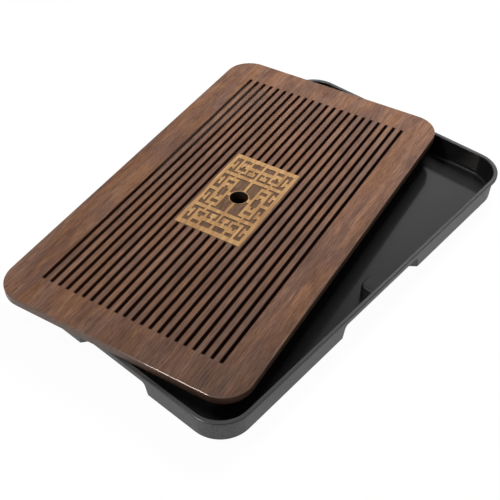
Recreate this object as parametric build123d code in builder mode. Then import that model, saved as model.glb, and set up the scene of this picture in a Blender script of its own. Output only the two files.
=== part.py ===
from build123d import *
from math import atan2, cos, radians, sin, tan
import os

# A gongfu tea tray: a shallow moulded water pan on four pads, and a slotted
# bamboo board with an inlaid drain plaque. The board lies askew on the pan's rim.
# Lengths are in millimetres. X runs along the pan's long side and +Z is up.
# The origin is the centre of the pan's flat underside.

# Bamboo board
board_length = 485.0
board_width = 285.8
board_thickness = 10.4
board_corner_radius = 31.7
board_top_round = 1.0
board_bottom_chamfer = 1.0

# Slots milled through the board, along its grain
slot_count = 22
slot_pitch = 10.0
slot_end_margin = 37.0
slot_width = 3.5
slot_end_chamfer = 1.05

# Drain plaque let into the middle of the board
plaque_length = 133.0
plaque_width = 81.0
plaque_thickness = 4.0
plaque_fit = 0.1
drain_hole_diameter = 20.0
drain_edge_chamfer = 0.5

# Water pan
pan_height = 30.2
pan_wall = 2.0
pan_floor = 2.5
pan_corner_radius = 36.0
pan_draft_angle = 2.0
rim_clearance = 0.8
lip_overhang = 2.5
lip_depth = 4.0
rim_round = 1.1
rim_inner_chamfer = 0.7
floor_fillet = 4.5

# Finger recess in the middle of each side, which leaves a foot at each corner
recess_height = 17.3
recess_depth = 15.0
recess_skin = 1.6
recess_corner_radius = 7.0
long_recess_foot = 136.0
long_recess_top = 129.0
short_recess_foot = 98.0
short_recess_top = 91.0
recess_end_angle = 38.0

# Board rest behind each recess: the board seats on these, sunk below the rim
rest_width = 21.0
rest_depth = 22.0
rest_corner_radius = 6.0
rest_top_round = 3.0
seated_board_drop = 2.8

# Non-slip pads
pad_diameter = 15.0
pad_thickness = 1.6
pad_seat_depth = 0.8
pad_seat_gap = 0.15
pad_from_long_side = 34.0
pad_from_short_side = 42.0

# Where the board lies on the rim: its centre from the pan's centre, and its turn
board_shift_along = -10.6
board_shift_across = 44.6
board_turn_angle = 10.5

# Every cut runs past the faces it opens by this much
overrun = 1.0

os.makedirs("parts", exist_ok=True)

# Sizes that follow from the ones above
opening_length = board_length + 2 * rim_clearance
opening_width = board_width + 2 * rim_clearance
opening_radius = board_corner_radius + rim_clearance
wall_top_length = opening_length + 2 * pan_wall
wall_top_width = opening_width + 2 * pan_wall
slot_length = board_length - 2 * slot_end_margin
rest_height = pan_height - board_thickness - seated_board_drop

board_underside = Plane(
    origin=(board_shift_along, board_shift_across, pan_height),
    x_dir=(cos(radians(board_turn_angle)), sin(radians(board_turn_angle)), 0),
    z_dir=(0, 0, 1),
)
board_top = board_underside.offset(board_thickness)
plaque_underside = board_underside.offset(board_thickness - plaque_thickness)

# The four sides of the pan: the turn from the front one, the distance from the
# centre to the wall's outer face at the rim, and the recess's two lengths
pan_sides = [
    (0, wall_top_width / 2, long_recess_foot, long_recess_top),
    (90, wall_top_length / 2, short_recess_foot, short_recess_top),
    (180, wall_top_width / 2, long_recess_foot, long_recess_top),
    (270, wall_top_length / 2, short_recess_foot, short_recess_top),
]


def rim_outline(growth, corner_radius):
    """The rim's opening, grown outwards by the wall or by the wall and lip."""
    RectangleRounded(
        opening_length + 2 * growth,
        opening_width + 2 * growth,
        corner_radius,
    )


def make_recess(face_distance, foot, top, skin):
    """The front recess, a wedge under a sloping roof, or its swelling inside by a skin."""
    roof_slope = recess_height / recess_depth
    end_lean = (foot - top) / 2 / recess_height
    height = recess_height + skin / cos(atan2(recess_height, recess_depth))
    outer_edge = -face_distance - lip_overhang
    inner_edge = -face_distance + (height + overrun) / roof_slope
    with BuildPart() as recess:
        with BuildSketch(Plane.YZ):
            with BuildLine():
                Polyline(
                    (outer_edge, -overrun),
                    (outer_edge, height + lip_overhang * roof_slope),
                    (inner_edge, -overrun),
                    close=True,
                )
            make_face()
        extrude(amount=foot, both=True)
        for end in (-1, 1):
            end_plane = Plane(
                origin=(end * foot / 2, -face_distance, 0),
                z_dir=(end, tan(radians(recess_end_angle)), end_lean),
            )
            split(bisect_by=end_plane.offset(skin), keep=Keep.BOTTOM)
        if skin == 0:
            upper_edges = recess.edges().filter_by_position(Axis.Z, 0, recess_height)
            fillet(upper_edges.sort_by(Axis.Y)[-2:], recess_corner_radius)
    return recess.part


def make_rest(face_distance, skin):
    """The front board rest, a rounded block on the wall, or the hollow in it by a skin."""
    inner_edge = -face_distance + pan_wall + rest_depth - skin
    outer_edge = -face_distance - rest_corner_radius
    with BuildPart() as rest:
        with BuildSketch(Plane.XY.offset(rest_height - skin)):
            with Locations((0, (inner_edge + outer_edge) / 2)):
                RectangleRounded(
                    rest_width - 2 * skin,
                    inner_edge - outer_edge,
                    rest_corner_radius - skin,
                )
        extrude(amount=-(rest_height - skin + overrun))
        top_edges = rest.faces().sort_by(Axis.Z)[-1].edges()
        if skin == 0:
            fillet(top_edges, rest_top_round)
        else:
            chamfer(top_edges, rest_top_round - skin)
    return rest.part


# Water pan
swellings, recesses, rests, rest_hollows = [], [], [], []
for turn, distance, foot, top in pan_sides:
    swellings.append(make_recess(distance, foot, top, recess_skin).rotate(Axis.Z, turn))
    recesses.append(make_recess(distance, foot, top, 0).rotate(Axis.Z, turn))
    rests.append(make_rest(distance, 0).rotate(Axis.Z, turn))
    rest_hollows.append(make_rest(distance, pan_wall).rotate(Axis.Z, turn))

with BuildPart() as basin:
    with BuildSketch(Plane.XY.offset(pan_height)):
        rim_outline(0, opening_radius)
    extrude(amount=-(pan_height - pan_floor), taper=pan_draft_angle)
    fillet(basin.faces().sort_by(Axis.Z)[0].edges(), floor_fillet)
    for swelling in swellings:
        add(swelling, mode=Mode.SUBTRACT)
    for rest in rests:
        add(rest, mode=Mode.SUBTRACT)

with BuildPart() as rim_lip:
    with BuildSketch(Plane.XY.offset(pan_height)):
        rim_outline(pan_wall + lip_overhang, pan_corner_radius)
    extrude(amount=-lip_depth)

pad_places = GridLocations(
    wall_top_length - 2 * pad_from_short_side,
    wall_top_width - 2 * pad_from_long_side,
    2,
    2,
)

with BuildPart() as water_pan:
    with BuildSketch(Plane.XY.offset(pan_height)):
        rim_outline(pan_wall, pan_corner_radius)
    extrude(amount=-pan_height, taper=pan_draft_angle)
    add(rim_lip.part)
    add(basin.part, mode=Mode.SUBTRACT)
    rim_top = water_pan.faces().sort_by(Axis.Z)[-1]
    fillet(rim_top.outer_wire().edges(), rim_round)
    rim_top = water_pan.faces().sort_by(Axis.Z)[-1]
    chamfer(rim_top.inner_wires()[0].edges(), rim_inner_chamfer)
    for recess in recesses:
        add(recess, mode=Mode.SUBTRACT)
    for hollow in rest_hollows:
        add(hollow, mode=Mode.SUBTRACT)
    with BuildSketch(Plane.XY):
        with pad_places:
            Circle(pad_diameter / 2 + pad_seat_gap)
    extrude(amount=pad_seat_depth, mode=Mode.SUBTRACT)
water_pan.part.label = "water_pan"
export_step(water_pan.part, "parts/water_pan.step")

# Non-slip pads, one in the shallow seat under each corner foot
pad_names = [
    "foot_pad_front_left",
    "foot_pad_rear_left",
    "foot_pad_front_right",
    "foot_pad_rear_right",
]
for name, place in zip(pad_names, pad_places):
    with BuildPart() as pad:
        with BuildSketch(Plane.XY.offset(pad_seat_depth)):
            with Locations(place):
                Circle(pad_diameter / 2)
        extrude(amount=-pad_thickness)
    pad.part.label = name
    export_step(pad.part, f"parts/{name}.step")

# Slotted board: full slots beside the plaque, and two shorter runs where it lies
slot_places = [(row - (slot_count - 1) / 2) * slot_pitch for row in range(slot_count)]
full_slots = [(0, y) for y in slot_places if abs(y) > plaque_width / 2]
short_slot_length = (slot_length - plaque_length + slot_width) / 2
short_slot_centre = (slot_length - short_slot_length) / 2
short_slots = [
    (end * short_slot_centre, y)
    for y in slot_places
    if abs(y) <= plaque_width / 2
    for end in (-1, 1)
]

with BuildPart() as slotted_board:
    with BuildSketch(board_underside):
        RectangleRounded(board_length, board_width, board_corner_radius)
    extrude(amount=board_thickness)
    fillet(slotted_board.faces().sort_by(Axis.Z)[-1].edges(), board_top_round)
    chamfer(slotted_board.faces().sort_by(Axis.Z)[0].edges(), board_bottom_chamfer)
    with BuildSketch(board_top) as slots:
        with Locations(*full_slots):
            Rectangle(slot_length, slot_width)
        with Locations(*short_slots):
            Rectangle(short_slot_length, slot_width)
        chamfer(slots.vertices(), slot_end_chamfer)
        Circle(drain_hole_diameter / 2)
    extrude(amount=-board_thickness, mode=Mode.SUBTRACT)
    with BuildSketch(plaque_underside):
        Rectangle(plaque_length + 2 * plaque_fit, plaque_width + 2 * plaque_fit)
    extrude(amount=plaque_thickness, mode=Mode.SUBTRACT)
slotted_board.part.label = "slotted_board"
export_step(slotted_board.part, "parts/slotted_board.step")

# Drain plaque, flush with the board's top
with BuildPart() as drain_plaque:
    with BuildSketch(plaque_underside):
        Rectangle(plaque_length, plaque_width)
        Circle(drain_hole_diameter / 2, mode=Mode.SUBTRACT)
    extrude(amount=plaque_thickness)
    hole_edge = drain_plaque.faces().sort_by(Axis.Z)[-1].edges().filter_by(GeomType.CIRCLE)
    chamfer(hole_edge.sort_by(SortBy.RADIUS)[-1], drain_edge_chamfer)
drain_plaque.part.label = "drain_plaque"
export_step(drain_plaque.part, "parts/drain_plaque.step")
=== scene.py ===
import math
import bmesh
import bpy
from mathutils import Matrix, Vector


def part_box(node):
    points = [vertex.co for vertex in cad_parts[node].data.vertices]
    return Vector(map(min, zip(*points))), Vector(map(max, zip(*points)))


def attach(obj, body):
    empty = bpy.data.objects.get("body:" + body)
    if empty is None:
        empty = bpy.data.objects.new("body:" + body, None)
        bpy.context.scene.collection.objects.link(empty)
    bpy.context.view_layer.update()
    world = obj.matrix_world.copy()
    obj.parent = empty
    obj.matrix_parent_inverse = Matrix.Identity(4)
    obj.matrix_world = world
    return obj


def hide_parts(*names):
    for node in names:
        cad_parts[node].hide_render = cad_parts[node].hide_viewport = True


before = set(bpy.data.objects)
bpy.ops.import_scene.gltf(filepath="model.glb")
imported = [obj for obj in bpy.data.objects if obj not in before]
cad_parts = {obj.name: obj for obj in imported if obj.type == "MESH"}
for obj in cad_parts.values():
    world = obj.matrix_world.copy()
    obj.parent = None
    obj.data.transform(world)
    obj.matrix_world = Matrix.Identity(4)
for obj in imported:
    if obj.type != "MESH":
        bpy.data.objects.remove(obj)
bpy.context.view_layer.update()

mm = 0.001

# The board, as the CAD has it: its centre, top and turn, in metres
board_centre = Vector((-10.6 * mm, 44.6 * mm, 0.0))
board_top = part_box("slotted_board")[1].z
board_turn = math.radians(10.5)

# Its slots, in millimetres: slot_reach and slot_zone are where they end, along the
# board and across it, from its centre
slot_pitch = 10.0
slot_half_width = 1.75
slot_reach = 205.5
slot_zone = 107.5

# The pan, in metres from its centre. mid_wall is how far in from the outline the middle
# of its wall is at the rim, and the draft leans the wall inwards below
pan_half_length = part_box("water_pan")[1].x
pan_half_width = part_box("water_pan")[1].y
pan_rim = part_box("water_pan")[1].z
pan_corner = 36.0 * mm
pan_draft = math.tan(math.radians(2.0))
mid_wall = 3.7 * mm

# The table stands level with the pads' undersides
floor_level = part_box("foot_pad_front_left")[0].z


# Nodes: one class for the maths on sockets, and one that makes every node


class Value:
    """A socket that takes part in Python maths, each step as one Math node."""

    def __init__(self, maker, socket):
        self.maker = maker
        self.socket = socket

    def maths(self, operation, *others):
        return self.maker.node("ShaderNodeMath", {"operation": operation}, [self, *others])

    def __add__(self, other):
        return self.maths("ADD", other)

    __radd__ = __add__

    def __mul__(self, other):
        return self.maths("MULTIPLY", other)

    __rmul__ = __mul__

    def __sub__(self, other):
        return self.maths("SUBTRACT", other)

    def __rsub__(self, other):
        return self.maker.node("ShaderNodeMath", {"operation": "SUBTRACT"}, [other, self])

    def __truediv__(self, other):
        return self.maths("DIVIDE", other)

    def __abs__(self):
        return self.maths("ABSOLUTE")

    def __pow__(self, other):
        return self.maths("POWER", other)

    def above(self, level, softness=0.0):
        """1 above a level and 0 below it, with a soft step if asked."""
        if softness:
            return ((self - level) / softness + 0.5).at_least(0.0).at_most(1.0)
        return self.maths("GREATER_THAN", level)

    def at_least(self, other):
        return self.maths("MAXIMUM", other)

    def at_most(self, other):
        return self.maths("MINIMUM", other)

    def wave(self):
        return self.maths("SINE")


class NodeMaker:
    """Makes the nodes of one material, or of the world."""

    def __init__(self, owner, output_kind):
        owner.use_nodes = True
        self.tree = owner.node_tree
        self.tree.nodes.clear()
        self.output_kind = output_kind

    def node(self, kind, settings=None, inputs=(), output=0):
        """Any node: its settings first, then its sockets by place or by name."""
        made = self.tree.nodes.new(kind)
        for key, value in (settings or {}).items():
            if key == "stops":
                self.set_stops(made.color_ramp, value)
            else:
                setattr(made, key, value)
        pairs = inputs.items() if isinstance(inputs, dict) else enumerate(inputs)
        for key, value in pairs:
            if isinstance(value, Value):
                self.tree.links.new(value.socket, made.inputs[key])
            else:
                made.inputs[key].default_value = value
        return Value(self, made.outputs[output]) if made.outputs else None

    @staticmethod
    def set_stops(ramp, stops):
        while len(ramp.elements) < len(stops):
            ramp.elements.new(0.5)
        for element, (place, colour) in zip(ramp.elements, stops):
            element.position = place
            element.color = (*colour, 1.0)

    def show(self, shader):
        """Ends the tree in its surface."""
        self.node(self.output_kind, None, {"Surface": shader})

    def split(self, vector):
        made = self.node("ShaderNodeSeparateXYZ", None, [vector]).socket.node
        return [Value(self, socket) for socket in made.outputs]

    def join(self, x, y, z):
        return self.node("ShaderNodeCombineXYZ", None, [x, y, z])

    def ray(self, kind):
        """1 for the rays of one kind and 0 for the others."""
        return self.node("ShaderNodeLightPath", output=f"Is {kind} Ray")


class Finish(NodeMaker):
    """A material."""

    def __init__(self, name):
        self.material = bpy.data.materials.new(name)
        super().__init__(self.material, "ShaderNodeOutputMaterial")

    def place(self):
        """The point on the surface in the object's own frame, in metres."""
        return self.node("ShaderNodeTexCoord", output="Object")

    def upward(self):
        """How far the surface faces up: 1 for a top, 0 for a side, -1 for an underside."""
        return self.split(self.node("ShaderNodeNewGeometry", output="Normal"))[2]

    def noise(self, vector, scale, detail, roughness):
        sockets = {"Vector": vector, "Scale": scale, "Detail": detail, "Roughness": roughness}
        return self.node("ShaderNodeTexNoise", {"noise_dimensions": "3D"}, sockets, "Fac")

    def figure(self, place, pace, detail, roughness, start=0.0):
        """A noise with its own pace in each of three directions. A start of its own
        keeps it unlike the others."""
        x, y, z = (distance * rate for distance, rate in zip(place, pace))
        return self.noise(self.join(x, y, z + start), 1.0, detail, roughness)

    def mix(self, share, below, over, label=""):
        """One colour laid over another. The node's colour sockets go by their places."""
        below, over = (
            colour if isinstance(colour, Value) else (*colour, 1.0) for colour in (below, over)
        )
        settings = {"data_type": "RGBA", "label": label}
        return self.node("ShaderNodeMix", settings, {0: share, 6: below, 7: over}, 2)

    def layered(self, colour, layers):
        """A colour under further ones, each with its label, its share and its colour."""
        for label, share, over in layers:
            colour = self.mix(share, colour, over, label)
        return colour

    def ramp(self, share, stops):
        return self.node("ShaderNodeValToRGB", {"stops": stops}, [share])

    def bump(self, height, distance, strength):
        inputs = {"Height": height, "Distance": distance, "Strength": strength}
        return self.node("ShaderNodeBump", None, inputs)

    def principled(self, **sockets):
        """The surface; sockets by their names with _ for a space."""
        inputs = {name.replace("_", " "): value for name, value in sockets.items()}
        self.show(self.node("ShaderNodeBsdfPrincipled", None, inputs))


# Finishes


def board_place(finish):
    """Along the grain, across it and up, from the board's centre, in millimetres."""
    turned = finish.node(
        "ShaderNodeMapping",
        {"vector_type": "TEXTURE"},
        {
            "Vector": finish.place(),
            "Location": (board_centre.x, board_centre.y, 0.0),
            "Rotation": (0.0, 0.0, board_turn),
            "Scale": (mm, mm, mm),
        },
    )
    return finish.split(turned)


def dark_bamboo():
    """Carbonised bamboo: warm brown streaks, orange and grey, and scorched slot edges, with
    painted shade in the slots, on the outer sides and towards the near corner, and a painted
    highlight on the rounded top edge.
    """
    grain_sway = 7.0
    tint_start, smoke_start = 40.0, 80.0
    zone_margin = 0.6
    scorch_reach, scorch_fade = 0.75, 0.9
    # Painted shade towards the near corner: where it starts, how softly it fades and how it
    # slants across
    corner_shade_from, corner_shade_fade, corner_shade_slant = 250.0, 120.0, 0.8
    upright_below, upright_fade = 0.6, 0.3
    rounded_from, rounded_to = 0.45, 0.975
    rounded_fade, flat_fade = 0.3, 0.03

    finish = Finish("dark_bamboo")
    straight = board_place(finish)
    along, across, up = straight
    sway = finish.figure(straight, pace=(0.008, 0.02, 0.0), detail=2.0, roughness=0.5)
    grain = (along, across + sway * grain_sway, up)
    bands = finish.figure(grain, pace=(0.005, 0.06, 0.05), detail=3.0, roughness=0.55)
    streaks = finish.figure(grain, pace=(0.014, 0.26, 0.26), detail=3.0, roughness=0.62)
    strands = finish.figure(grain, pace=(0.020, 0.70, 0.70), detail=2.0, roughness=0.6)
    fibres = finish.figure(grain, pace=(0.055, 2.0, 2.0), detail=2.0, roughness=0.65)
    pores = finish.figure(grain, pace=(0.11, 1.3, 1.3), detail=2.0, roughness=0.6)
    tint = finish.figure(
        grain, pace=(0.012, 0.06, 1.0), detail=2.0, roughness=0.5, start=tint_start
    )
    smoke = finish.figure(
        straight, pace=(0.014, 0.03, 1.0), detail=3.0, roughness=0.6, start=smoke_start
    )
    to_near_corner = 0.0 - along - across * corner_shade_slant

    # Where the slots, their edges and walls, the outer side and the rounded edge are
    to_slot = abs((across / slot_pitch).maths("FLOORED_MODULO", 1.0) - 0.5) * slot_pitch
    among_slots = (slot_zone - abs(across)).above(0.0)
    among_slots = among_slots * (slot_reach + zone_margin - abs(along)).above(0.0)
    slot_edge = (slot_half_width + scorch_reach - to_slot).above(0.0, scorch_fade) * among_slots
    upward = finish.upward()
    upright = (upright_below - abs(upward)).above(0.0, upright_fade)
    side = upright * (1.0 - among_slots)
    rounding = upward.above(rounded_from, rounded_fade)
    rounding = rounding * (rounded_to - upward).above(0.0, flat_fade) * (1.0 - among_slots)

    wood = finish.ramp(
        bands * 0.30 + streaks * 0.40 + strands * 0.30,
        [
            (0.36, (0.066, 0.027, 0.018)),
            (0.45, (0.132, 0.062, 0.041)),
            (0.53, (0.206, 0.104, 0.065)),
            (0.64, (0.335, 0.182, 0.114)),
        ],
    )
    # Painted shade: the wood darkens towards the near corner
    painted_corner_shade = to_near_corner.above(corner_shade_from, corner_shade_fade)
    layers = [
        ("orange bands", tint.above(0.55, 0.12) * 0.45, (0.215, 0.098, 0.036)),
        ("grey bands", (1.0 - tint).above(0.55, 0.12) * 0.50, (0.112, 0.072, 0.058)),
        ("smoke", smoke.above(0.57, 0.12) * 0.50, (0.066, 0.035, 0.029)),
        ("smoky near corner", painted_corner_shade * 0.60, (0.055, 0.038, 0.034)),
        ("dark strands", strands.above(0.54, 0.14) * 0.56, (0.050, 0.022, 0.014)),
        ("pale fibres", (1.0 - fibres).above(0.55, 0.20) * 0.30, (0.330, 0.185, 0.115)),
        ("dark fibres", fibres.above(0.55, 0.20) * 0.42, (0.038, 0.017, 0.011)),
        ("pores", pores.above(0.62, 0.10) * 0.55, (0.030, 0.013, 0.009)),
        ("dust of the slots", among_slots * 0.22, (0.140, 0.100, 0.082)),
        ("scorched slot edges", slot_edge * 0.75, (0.045, 0.016, 0.007)),
        # Painted shade: the walls inside the slots are darkened
        ("slot walls", upright * among_slots, (0.050, 0.018, 0.008)),
        # Painted shade: the outer sides are mixed towards a mid brown
        ("outer side", side * 0.30, (0.150, 0.075, 0.040)),
        # Painted highlight: the rounded top edge is paler
        ("worn rounded edge", rounding * 0.12, (0.400, 0.250, 0.160)),
    ]
    finish.principled(
        Base_Color=finish.layered(wood, layers),
        Roughness=0.40 + fibres * 0.14 - rounding * 0.12,
        Specular_IOR_Level=0.3,
        Normal=finish.bump(strands * 0.5 + fibres * 0.5, distance=0.07 * mm, strength=0.5),
        Coat_Weight=0.04 + rounding * 0.9 + side * 0.15,
        Coat_Roughness=0.08,
    )
    return finish.material


def pale_bamboo():
    """Natural bamboo: straw coloured, with finer and fainter grain."""
    finish = Finish("pale_bamboo")
    grain = board_place(finish)
    streaks = finish.figure(grain, pace=(0.02, 0.3, 0.3), detail=3.0, roughness=0.6)
    fibres = finish.figure(grain, pace=(0.05, 2.2, 2.2), detail=2.0, roughness=0.6)
    straw = finish.ramp(
        streaks,
        [
            (0.34, (0.250, 0.130, 0.052)),
            (0.50, (0.370, 0.212, 0.088)),
            (0.66, (0.480, 0.300, 0.135)),
        ],
    )
    dark_fibres = fibres.above(0.52, 0.2) * 0.45
    finish.principled(
        Base_Color=finish.mix(dark_fibres, straw, (0.240, 0.120, 0.050)),
        Roughness=0.42 + fibres * 0.15,
        Normal=finish.bump(fibres, distance=0.05 * mm, strength=0.5),
    )
    return finish.material


def engraved_bamboo():
    """The engraving's floor in the pale bamboo: scorched brown, lined by the tool's passes."""
    passes_pace = 14.0
    finish = Finish("engraved_bamboo")
    grain = board_place(finish)
    patches = finish.figure(grain, pace=(0.08, 0.3, 0.3), detail=3.0, roughness=0.6)
    passes = (grain[1] * passes_pace).wave() * 0.5 + 0.5
    scorched = finish.ramp(
        patches,
        [
            (0.35, (0.066, 0.034, 0.019)),
            (0.65, (0.140, 0.080, 0.050)),
        ],
    )
    finish.principled(
        Base_Color=finish.mix(passes * 0.25, scorched, (0.120, 0.060, 0.030)),
        Roughness=0.62 + patches * 0.15,
        Normal=finish.bump(passes * 0.5 + patches * 0.5, distance=0.05 * mm, strength=0.5),
    )
    return finish.material


def scorched_bamboo():
    """The drain hole's wall, burnt nearly black by the cutter."""
    finish = Finish("scorched_bamboo")
    char = finish.noise(finish.place(), scale=300.0, detail=3.0, roughness=0.6)
    soot, burnt = (0.008, 0.006, 0.005), (0.026, 0.016, 0.011)
    finish.principled(
        Base_Color=finish.mix(char.above(0.5, 0.3), soot, burnt),
        Roughness=0.55 + char * 0.2,
        Normal=finish.bump(char, distance=0.1 * mm, strength=0.5),
    )
    return finish.material


def pan_plastic():
    """Black moulded plastic: polished inside and on the rim, finely grained outside."""
    rim_band = 1.2 * mm
    underside_band = 1.2 * mm
    wall_blend = 0.2 * mm
    rim_slope, rim_fade = 0.55, 0.4
    overhang_slope = -0.25

    finish = Finish("pan_plastic")
    place = finish.place()
    x, y, z = finish.split(place)
    upward = finish.upward()

    # How far in from the pan's outline a point lies, and so on which side of the wall
    dx = (abs(x) - (pan_half_length - pan_corner)).at_least(0.0)
    dy = (abs(y) - (pan_half_width - pan_corner)).at_least(0.0)
    inset = pan_corner - (dx * dx + dy * dy) ** 0.5
    inset = inset.at_most(pan_half_length - abs(x)).at_most(pan_half_width - abs(y))
    inside = (inset - (pan_rim - z) * pan_draft).above(mid_wall, wall_blend)
    rim = z.above(pan_rim - rim_band) * upward.above(rim_slope, rim_fade)
    polished = inside.at_least(rim) * z.above(underside_band) * upward.above(overhang_slope)

    grain = finish.noise(place, scale=420.0, detail=4.0, roughness=0.75)
    clouds = finish.noise(place, scale=14.0, detail=2.0, roughness=0.5)
    wipes = finish.figure((x, y, z), pace=(30.0, 9.0, 9.0), detail=3.0, roughness=0.6)
    grained = finish.mix(grain.above(0.5, 0.22), (0.006, 0.006, 0.007), (0.058, 0.059, 0.060))
    glossy = finish.mix(clouds, (0.013, 0.013, 0.0135), (0.018, 0.018, 0.0185))
    layers = [
        ("polished inside", polished, glossy),
        # The rim takes the grain's lightest grey: partly the outer plastic's own grey carried
        # over the rim, partly a painted reflection
        ("rim", rim * 0.8, (0.058, 0.059, 0.060)),
    ]
    smooth = 0.08 + wipes * 0.08 + rim * 0.14
    rough = 0.36 + grain * 0.18
    height = grain * (1.0 - polished) + wipes * polished * 0.05
    finish.principled(
        Base_Color=finish.layered(grained, layers),
        Roughness=polished * smooth + (1.0 - polished) * rough,
        Normal=finish.bump(height, distance=0.3 * mm, strength=0.7),
    )
    return finish.material


def pad_rubber():
    """Black rubber with a fine pebbled skin and a little dust."""
    finish = Finish("pad_rubber")
    pebbles = finish.noise(finish.place(), scale=1500.0, detail=2.0, roughness=0.5)
    dust = finish.noise(finish.place(), scale=160.0, detail=3.0, roughness=0.6)
    clean, dusty = (0.016, 0.016, 0.016), (0.050, 0.049, 0.047)
    finish.principled(
        Base_Color=finish.mix(dust.above(0.5, 0.3) * 0.5, clean, dusty),
        Roughness=0.72 + dust * 0.15,
        Normal=finish.bump(pebbles, distance=0.1 * mm, strength=0.5),
    )
    return finish.material


def studio_floor():
    """A pale floor that reads white to the camera and keeps the tray's shadow."""
    white_share = 0.97
    finish = Finish("studio_floor")
    clouds = finish.noise(finish.place(), scale=3.0, detail=1.0, roughness=0.5)
    paper = finish.mix(clouds, (0.86, 0.86, 0.86), (0.88, 0.88, 0.88))
    matt = finish.node("ShaderNodeBsdfDiffuse", None, {"Color": paper})
    white = finish.node(
        "ShaderNodeEmission", None, {"Color": (1.0, 1.0, 1.0, 1.0), "Strength": 1.0}
    )
    seen = finish.ray("Camera")
    for kind in ("Glossy", "Transmission"):
        seen = seen.at_least(finish.ray(kind))
    finish.show(finish.node("ShaderNodeMixShader", None, [seen * white_share, matt, white]))
    return finish.material


def finish_cad_node(node, material, edge):
    """A CAD node keeps its shape; its sharp edges are eased and it gets its finish."""
    weld_distance = 0.002 * mm
    sharp_angle = math.radians(32)

    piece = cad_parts[node]
    for slot in piece.material_slots:
        slot.material = material
    for face in piece.data.polygons:
        face.use_smooth = True
    weld = piece.modifiers.new("weld", "WELD")
    weld.merge_threshold = weld_distance
    bevel = piece.modifiers.new("eased_edges", "BEVEL")
    bevel.limit_method = "ANGLE"
    bevel.angle_limit = sharp_angle
    bevel.width = edge
    bevel.segments = 2
    normals = piece.modifiers.new("even_normals", "WEIGHTED_NORMAL")
    normals.keep_sharp = True
    normals.weight = 100


# The engraved plaque, built from its lattice, in millimetres from its top's centre


plaque_half_length = 66.5
plaque_half_width = 40.5
plaque_thickness = 4.0
hole_radius = 10.0
hole_chamfer = 0.5
ring_radius = 11.3
engraving_depth = 0.6
cutter_overrun = 1.0

# One quarter of the lattice, as engraved rectangles: near and far along the
# plaque, then near and far across it
centre_panel = [(2.8, 28.6, 1.6, 14.1), (26.0, 28.6, 14.1, 19.6)]
plus = [(0.0, 6.3, 17.0, 25.0), (6.3, 10.6, 20.2, 23.2)]
small_window = [(15.4, 20.6, 17.0, 25.2)]
inner_hook = [
    (26.0, 28.6, 22.3, 28.4),
    (2.6, 28.6, 28.4, 30.8),
    (2.6, 9.0, 30.8, 33.6),
    (2.6, 15.4, 33.6, 36.2),
    (22.6, 28.6, 30.8, 33.4),
    (20.6, 28.6, 33.4, 35.6),
]
bracket = [
    (33.8, 37.0, 1.6, 19.6),
    (37.0, 46.6, 11.8, 14.1),
    (43.4, 46.6, 8.8, 11.8),
    (37.0, 46.6, 1.6, 3.8),
    (43.4, 46.6, 3.8, 6.3),
]
outer_hook = [
    (33.8, 36.6, 22.3, 28.4),
    (33.8, 59.8, 28.4, 30.8),
    (33.8, 39.2, 30.8, 33.4),
    (33.8, 41.6, 33.4, 35.6),
    (53.8, 59.8, 30.8, 33.6),
    (47.0, 59.8, 33.6, 36.2),
]
tee = [(40.4, 45.6, 17.0, 25.2), (45.6, 49.0, 19.9, 23.0)]
end_windows = [(54.6, 59.8, 17.0, 25.4), (52.0, 59.8, 1.6, 14.1)]
lattice_quarter = [
    *centre_panel,
    *plus,
    *small_window,
    *inner_hook,
    *bracket,
    *outer_hook,
    *tee,
    *end_windows,
]


def solid_from(form, name, material=None):
    """A piece from a worked form, with its finish if it has one."""
    mesh = bpy.data.meshes.new(name)
    form.to_mesh(mesh)
    form.free()
    if material:
        mesh.materials.append(material)
    piece = bpy.data.objects.new(name, mesh)
    bpy.context.scene.collection.objects.link(piece)
    return piece


def add_block(form, low, high):
    """A block between its lowest and highest corners."""
    outline = [(low[0], low[1]), (high[0], low[1]), (high[0], high[1]), (low[0], high[1])]
    corners = [form.verts.new((x, y, z)) for z in (low[2], high[2]) for x, y in outline]
    sides = [(3, 2, 1, 0), (4, 5, 6, 7), (0, 1, 5, 4), (1, 2, 6, 5), (2, 3, 7, 6), (3, 0, 4, 7)]
    for side in sides:
        form.faces.new([corners[i] for i in side])


def add_round(form, rings, segments=64):
    """A turned form about the upright axis from (radius, height) pairs, closed at both ends."""
    turns = [2 * math.pi * i / segments for i in range(segments)]
    loops = [
        [form.verts.new((radius * math.cos(turn), radius * math.sin(turn), z)) for turn in turns]
        for radius, z in rings
    ]
    for lower, upper in zip(loops, loops[1:]):
        for i in range(segments):
            j = (i + 1) % segments
            form.faces.new([lower[i], lower[j], upper[j], upper[i]])
    form.faces.new(list(reversed(loops[0])))
    form.faces.new(loops[-1])


def merged_cells(rectangles):
    """The rectangles as one grid: its lines both ways, and the cells that are engraved."""
    xs = sorted({x for x0, x1, y0, y1 in rectangles for x in (x0, x1)})
    ys = sorted({y for x0, x1, y0, y1 in rectangles for y in (y0, y1)})
    cells = set()
    for i in range(len(xs) - 1):
        for j in range(len(ys) - 1):
            x = (xs[i] + xs[i + 1]) / 2
            y = (ys[j] + ys[j + 1]) / 2
            if any(x0 < x < x1 and y0 < y < y1 for x0, x1, y0, y1 in rectangles):
                cells.add((i, j))
    return xs, ys, cells


def add_cells(form, xs, ys, cells, low, high):
    """The engraved cells as one closed form between two heights."""
    corners = {}

    def corner(i, j, z):
        key = (i, j, z)
        if key not in corners:
            corners[key] = form.verts.new((xs[i], ys[j], z))
        return corners[key]

    for i, j in sorted(cells):
        around = [(i, j), (i + 1, j), (i + 1, j + 1), (i, j + 1)]
        form.faces.new([corner(a, b, high) for a, b in around])
        form.faces.new([corner(a, b, low) for a, b in reversed(around)])
        next_cells = [(i, j - 1), (i + 1, j), (i, j + 1), (i - 1, j)]
        for side, beside in enumerate(next_cells):
            if beside not in cells:
                a, b = around[side], around[(side + 1) % 4]
                wall = [(*a, low), (*b, low), (*b, high), (*a, high)]
                form.faces.new([corner(*place) for place in wall])


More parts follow.
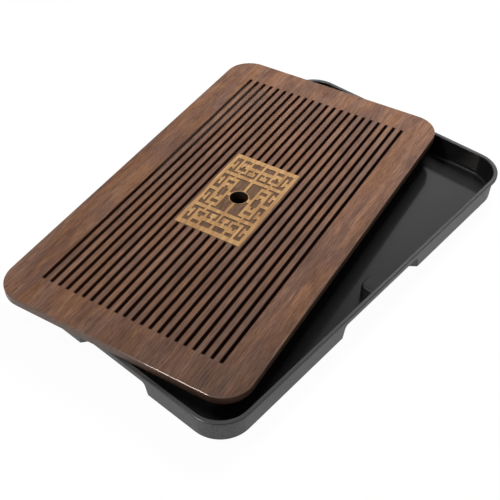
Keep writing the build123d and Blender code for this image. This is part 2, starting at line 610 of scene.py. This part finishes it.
def cut(piece, cutter):
    """Takes the cutter's form out of the piece, and leaves the cutter's finish on the cut."""
    boolean = piece.modifiers.new("cut", "BOOLEAN")
    boolean.operation = "DIFFERENCE"
    boolean.solver = "EXACT"
    boolean.material_mode = "TRANSFER"
    boolean.object = cutter
    bpy.context.view_layer.update()
    shown = piece.evaluated_get(bpy.context.evaluated_depsgraph_get())
    mesh = bpy.data.meshes.new_from_object(shown)
    piece.modifiers.remove(boolean)
    piece.data = mesh
    bpy.data.objects.remove(cutter)


def mirrored_both_ways(quarter):
    """The whole pattern from its quarter, as rectangles with their near sides first."""
    return [
        (*sorted((along * x0, along * x1)), *sorted((across * y0, across * y1)))
        for x0, x1, y0, y1 in quarter
        for along in (-1, 1)
        for across in (-1, 1)
    ]


def drain_plaque():
    """The inlay: a plate with the lattice sunk in its face and the drain hole through it."""
    plate_form = bmesh.new()
    low = (-plaque_half_length, -plaque_half_width, -plaque_thickness)
    add_block(plate_form, low, (plaque_half_length, plaque_half_width, 0.0))
    plate = solid_from(plate_form, "drain_plaque_engraved", pale_bamboo())

    # The lattice leaves a plain ring round the hole
    lattice_form = bmesh.new()
    lattice_cells = merged_cells(mirrored_both_ways(lattice_quarter))
    add_cells(lattice_form, *lattice_cells, -engraving_depth, cutter_overrun)
    lattice = solid_from(lattice_form, "lattice_cutter", engraved_bamboo())
    ring_form = bmesh.new()
    ring_reach = 2 * cutter_overrun
    add_round(ring_form, [(ring_radius, -ring_reach), (ring_radius, ring_reach)])
    cut(lattice, solid_from(ring_form, "ring_cutter"))
    cut(plate, lattice)

    hole_form = bmesh.new()
    rings = [
        (hole_radius, -plaque_thickness - cutter_overrun),
        (hole_radius, -hole_chamfer),
        (hole_radius + hole_chamfer, 0.0),
        (hole_radius + hole_chamfer, cutter_overrun),
    ]
    add_round(hole_form, rings)
    cut(plate, solid_from(hole_form, "hole_cutter", scorched_bamboo()))

    placing = Matrix.Translation((board_centre.x, board_centre.y, board_top))
    placing = placing @ Matrix.Rotation(board_turn, 4, "Z") @ Matrix.Scale(mm, 4)
    plate.data.transform(placing)
    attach(plate, "board")
    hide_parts("drain_plaque")


# The studio


def light_world():
    """A dark room with a soft ceiling and a window behind the tray, white to the camera."""
    window_direction = (0.711, 0.444, 0.545)
    white_strength = 1.0
    world = bpy.data.worlds.new("studio")
    bpy.context.scene.world = world
    room = NodeMaker(world, "ShaderNodeOutputWorld")

    def fade(value, low, high, bottom, top):
        """A smooth rise from one strength to another as the value goes from low to high."""
        return room.node(
            "ShaderNodeMapRange",
            {"interpolation_type": "SMOOTHSTEP"},
            {
                "Value": value,
                "From Min": low,
                "From Max": high,
                "To Min": bottom,
                "To Max": top,
            },
        )

    direction = room.node("ShaderNodeTexCoord", output="Generated")
    facing_window = room.node(
        "ShaderNodeVectorMath",
        {"operation": "DOT_PRODUCT"},
        [direction, window_direction],
        "Value",
    )
    ceiling = fade(room.split(direction)[2], low=0.15, high=0.95, bottom=0.06, top=0.26)
    window = fade(facing_window, low=0.961, high=0.9945, bottom=0.0, top=0.70)
    shares = {0: room.ray("Camera"), 2: ceiling + window, 3: white_strength}
    strength = room.node("ShaderNodeMix", None, shares)
    sockets = {"Color": (1.0, 1.0, 1.0, 1.0), "Strength": strength}
    room.show(room.node("ShaderNodeBackground", None, sockets))


def add_lamp(name, place, size, power, colour, mirrored):
    """A square lamp aimed at the tray, either for its light or for its reflection alone."""
    data = bpy.data.lights.new(name, "AREA")
    data.shape = "SQUARE"
    data.size = size
    data.energy = power
    data.color = colour
    lamp = bpy.data.objects.new(name, data)
    bpy.context.scene.collection.objects.link(lamp)
    lamp.location = place
    lamp.rotation_euler = Vector(place).to_track_quat("Z", "Y").to_euler()
    lamp.visible_glossy = mirrored
    lamp.visible_diffuse = not mirrored


def light_studio():
    """The room, two lamps that fill it, and a warm one that glints on the rounded edges."""
    fill = {"colour": (1.0, 1.0, 1.0), "mirrored": False}
    glint = {"colour": (1.0, 0.90, 0.79), "mirrored": True}
    light_world()
    add_lamp("top_lamp", (-0.565, 0.47, 1.30), size=0.30, power=8.0, **fill)
    add_lamp("right_lamp", (0.64, 0.12, 0.78), size=0.35, power=13.0, **fill)
    add_lamp("edge_lamp", (-1.14, 0.227, 1.064), size=0.30, power=22.0, **glint)


def lay_floor():
    """A wide flat floor under the pads."""
    reach = 6.0
    mesh = bpy.data.meshes.new("studio_floor")
    corners = [(-reach, -reach), (reach, -reach), (reach, reach), (-reach, reach)]
    mesh.from_pydata([(x, y, floor_level) for x, y in corners], [], [(0, 1, 2, 3)])
    floor = bpy.data.objects.new("studio_floor", mesh)
    bpy.context.scene.collection.objects.link(floor)
    mesh.materials.append(studio_floor())


def set_camera():
    """The photograph's view, worked out from the slots and the outlines."""
    photo_width = 500.0
    focal_length = 882.84  # in the photo's pixels
    place = (-0.55700, -0.44644, 0.68408)
    aim = (0.53746, 0.46662, -0.70243)
    tilt = math.radians(-0.308)

    data = bpy.data.cameras.new("camera")
    data.sensor_width = 36.0
    data.lens = focal_length / photo_width * data.sensor_width
    data.clip_end = 50.0
    camera = bpy.data.objects.new("camera", data)
    bpy.context.scene.collection.objects.link(camera)
    camera.location = place
    forward = Vector(aim).normalized()
    roll = Matrix.Rotation(tilt, 3, forward)
    level = forward.to_track_quat("-Z", "Y").to_matrix()
    camera.rotation_euler = (roll @ level).to_euler()
    bpy.context.scene.camera = camera


finish_cad_node("water_pan", pan_plastic(), edge=0.35 * mm)
finish_cad_node("slotted_board", dark_bamboo(), edge=0.25 * mm)
rubber = pad_rubber()
for corner in ("front_left", "front_right", "rear_left", "rear_right"):
    finish_cad_node(f"foot_pad_{corner}", rubber, edge=0.3 * mm)
drain_plaque()
lay_floor()
light_studio()
set_camera()
bpy.context.scene.view_settings.view_transform = "Standard"
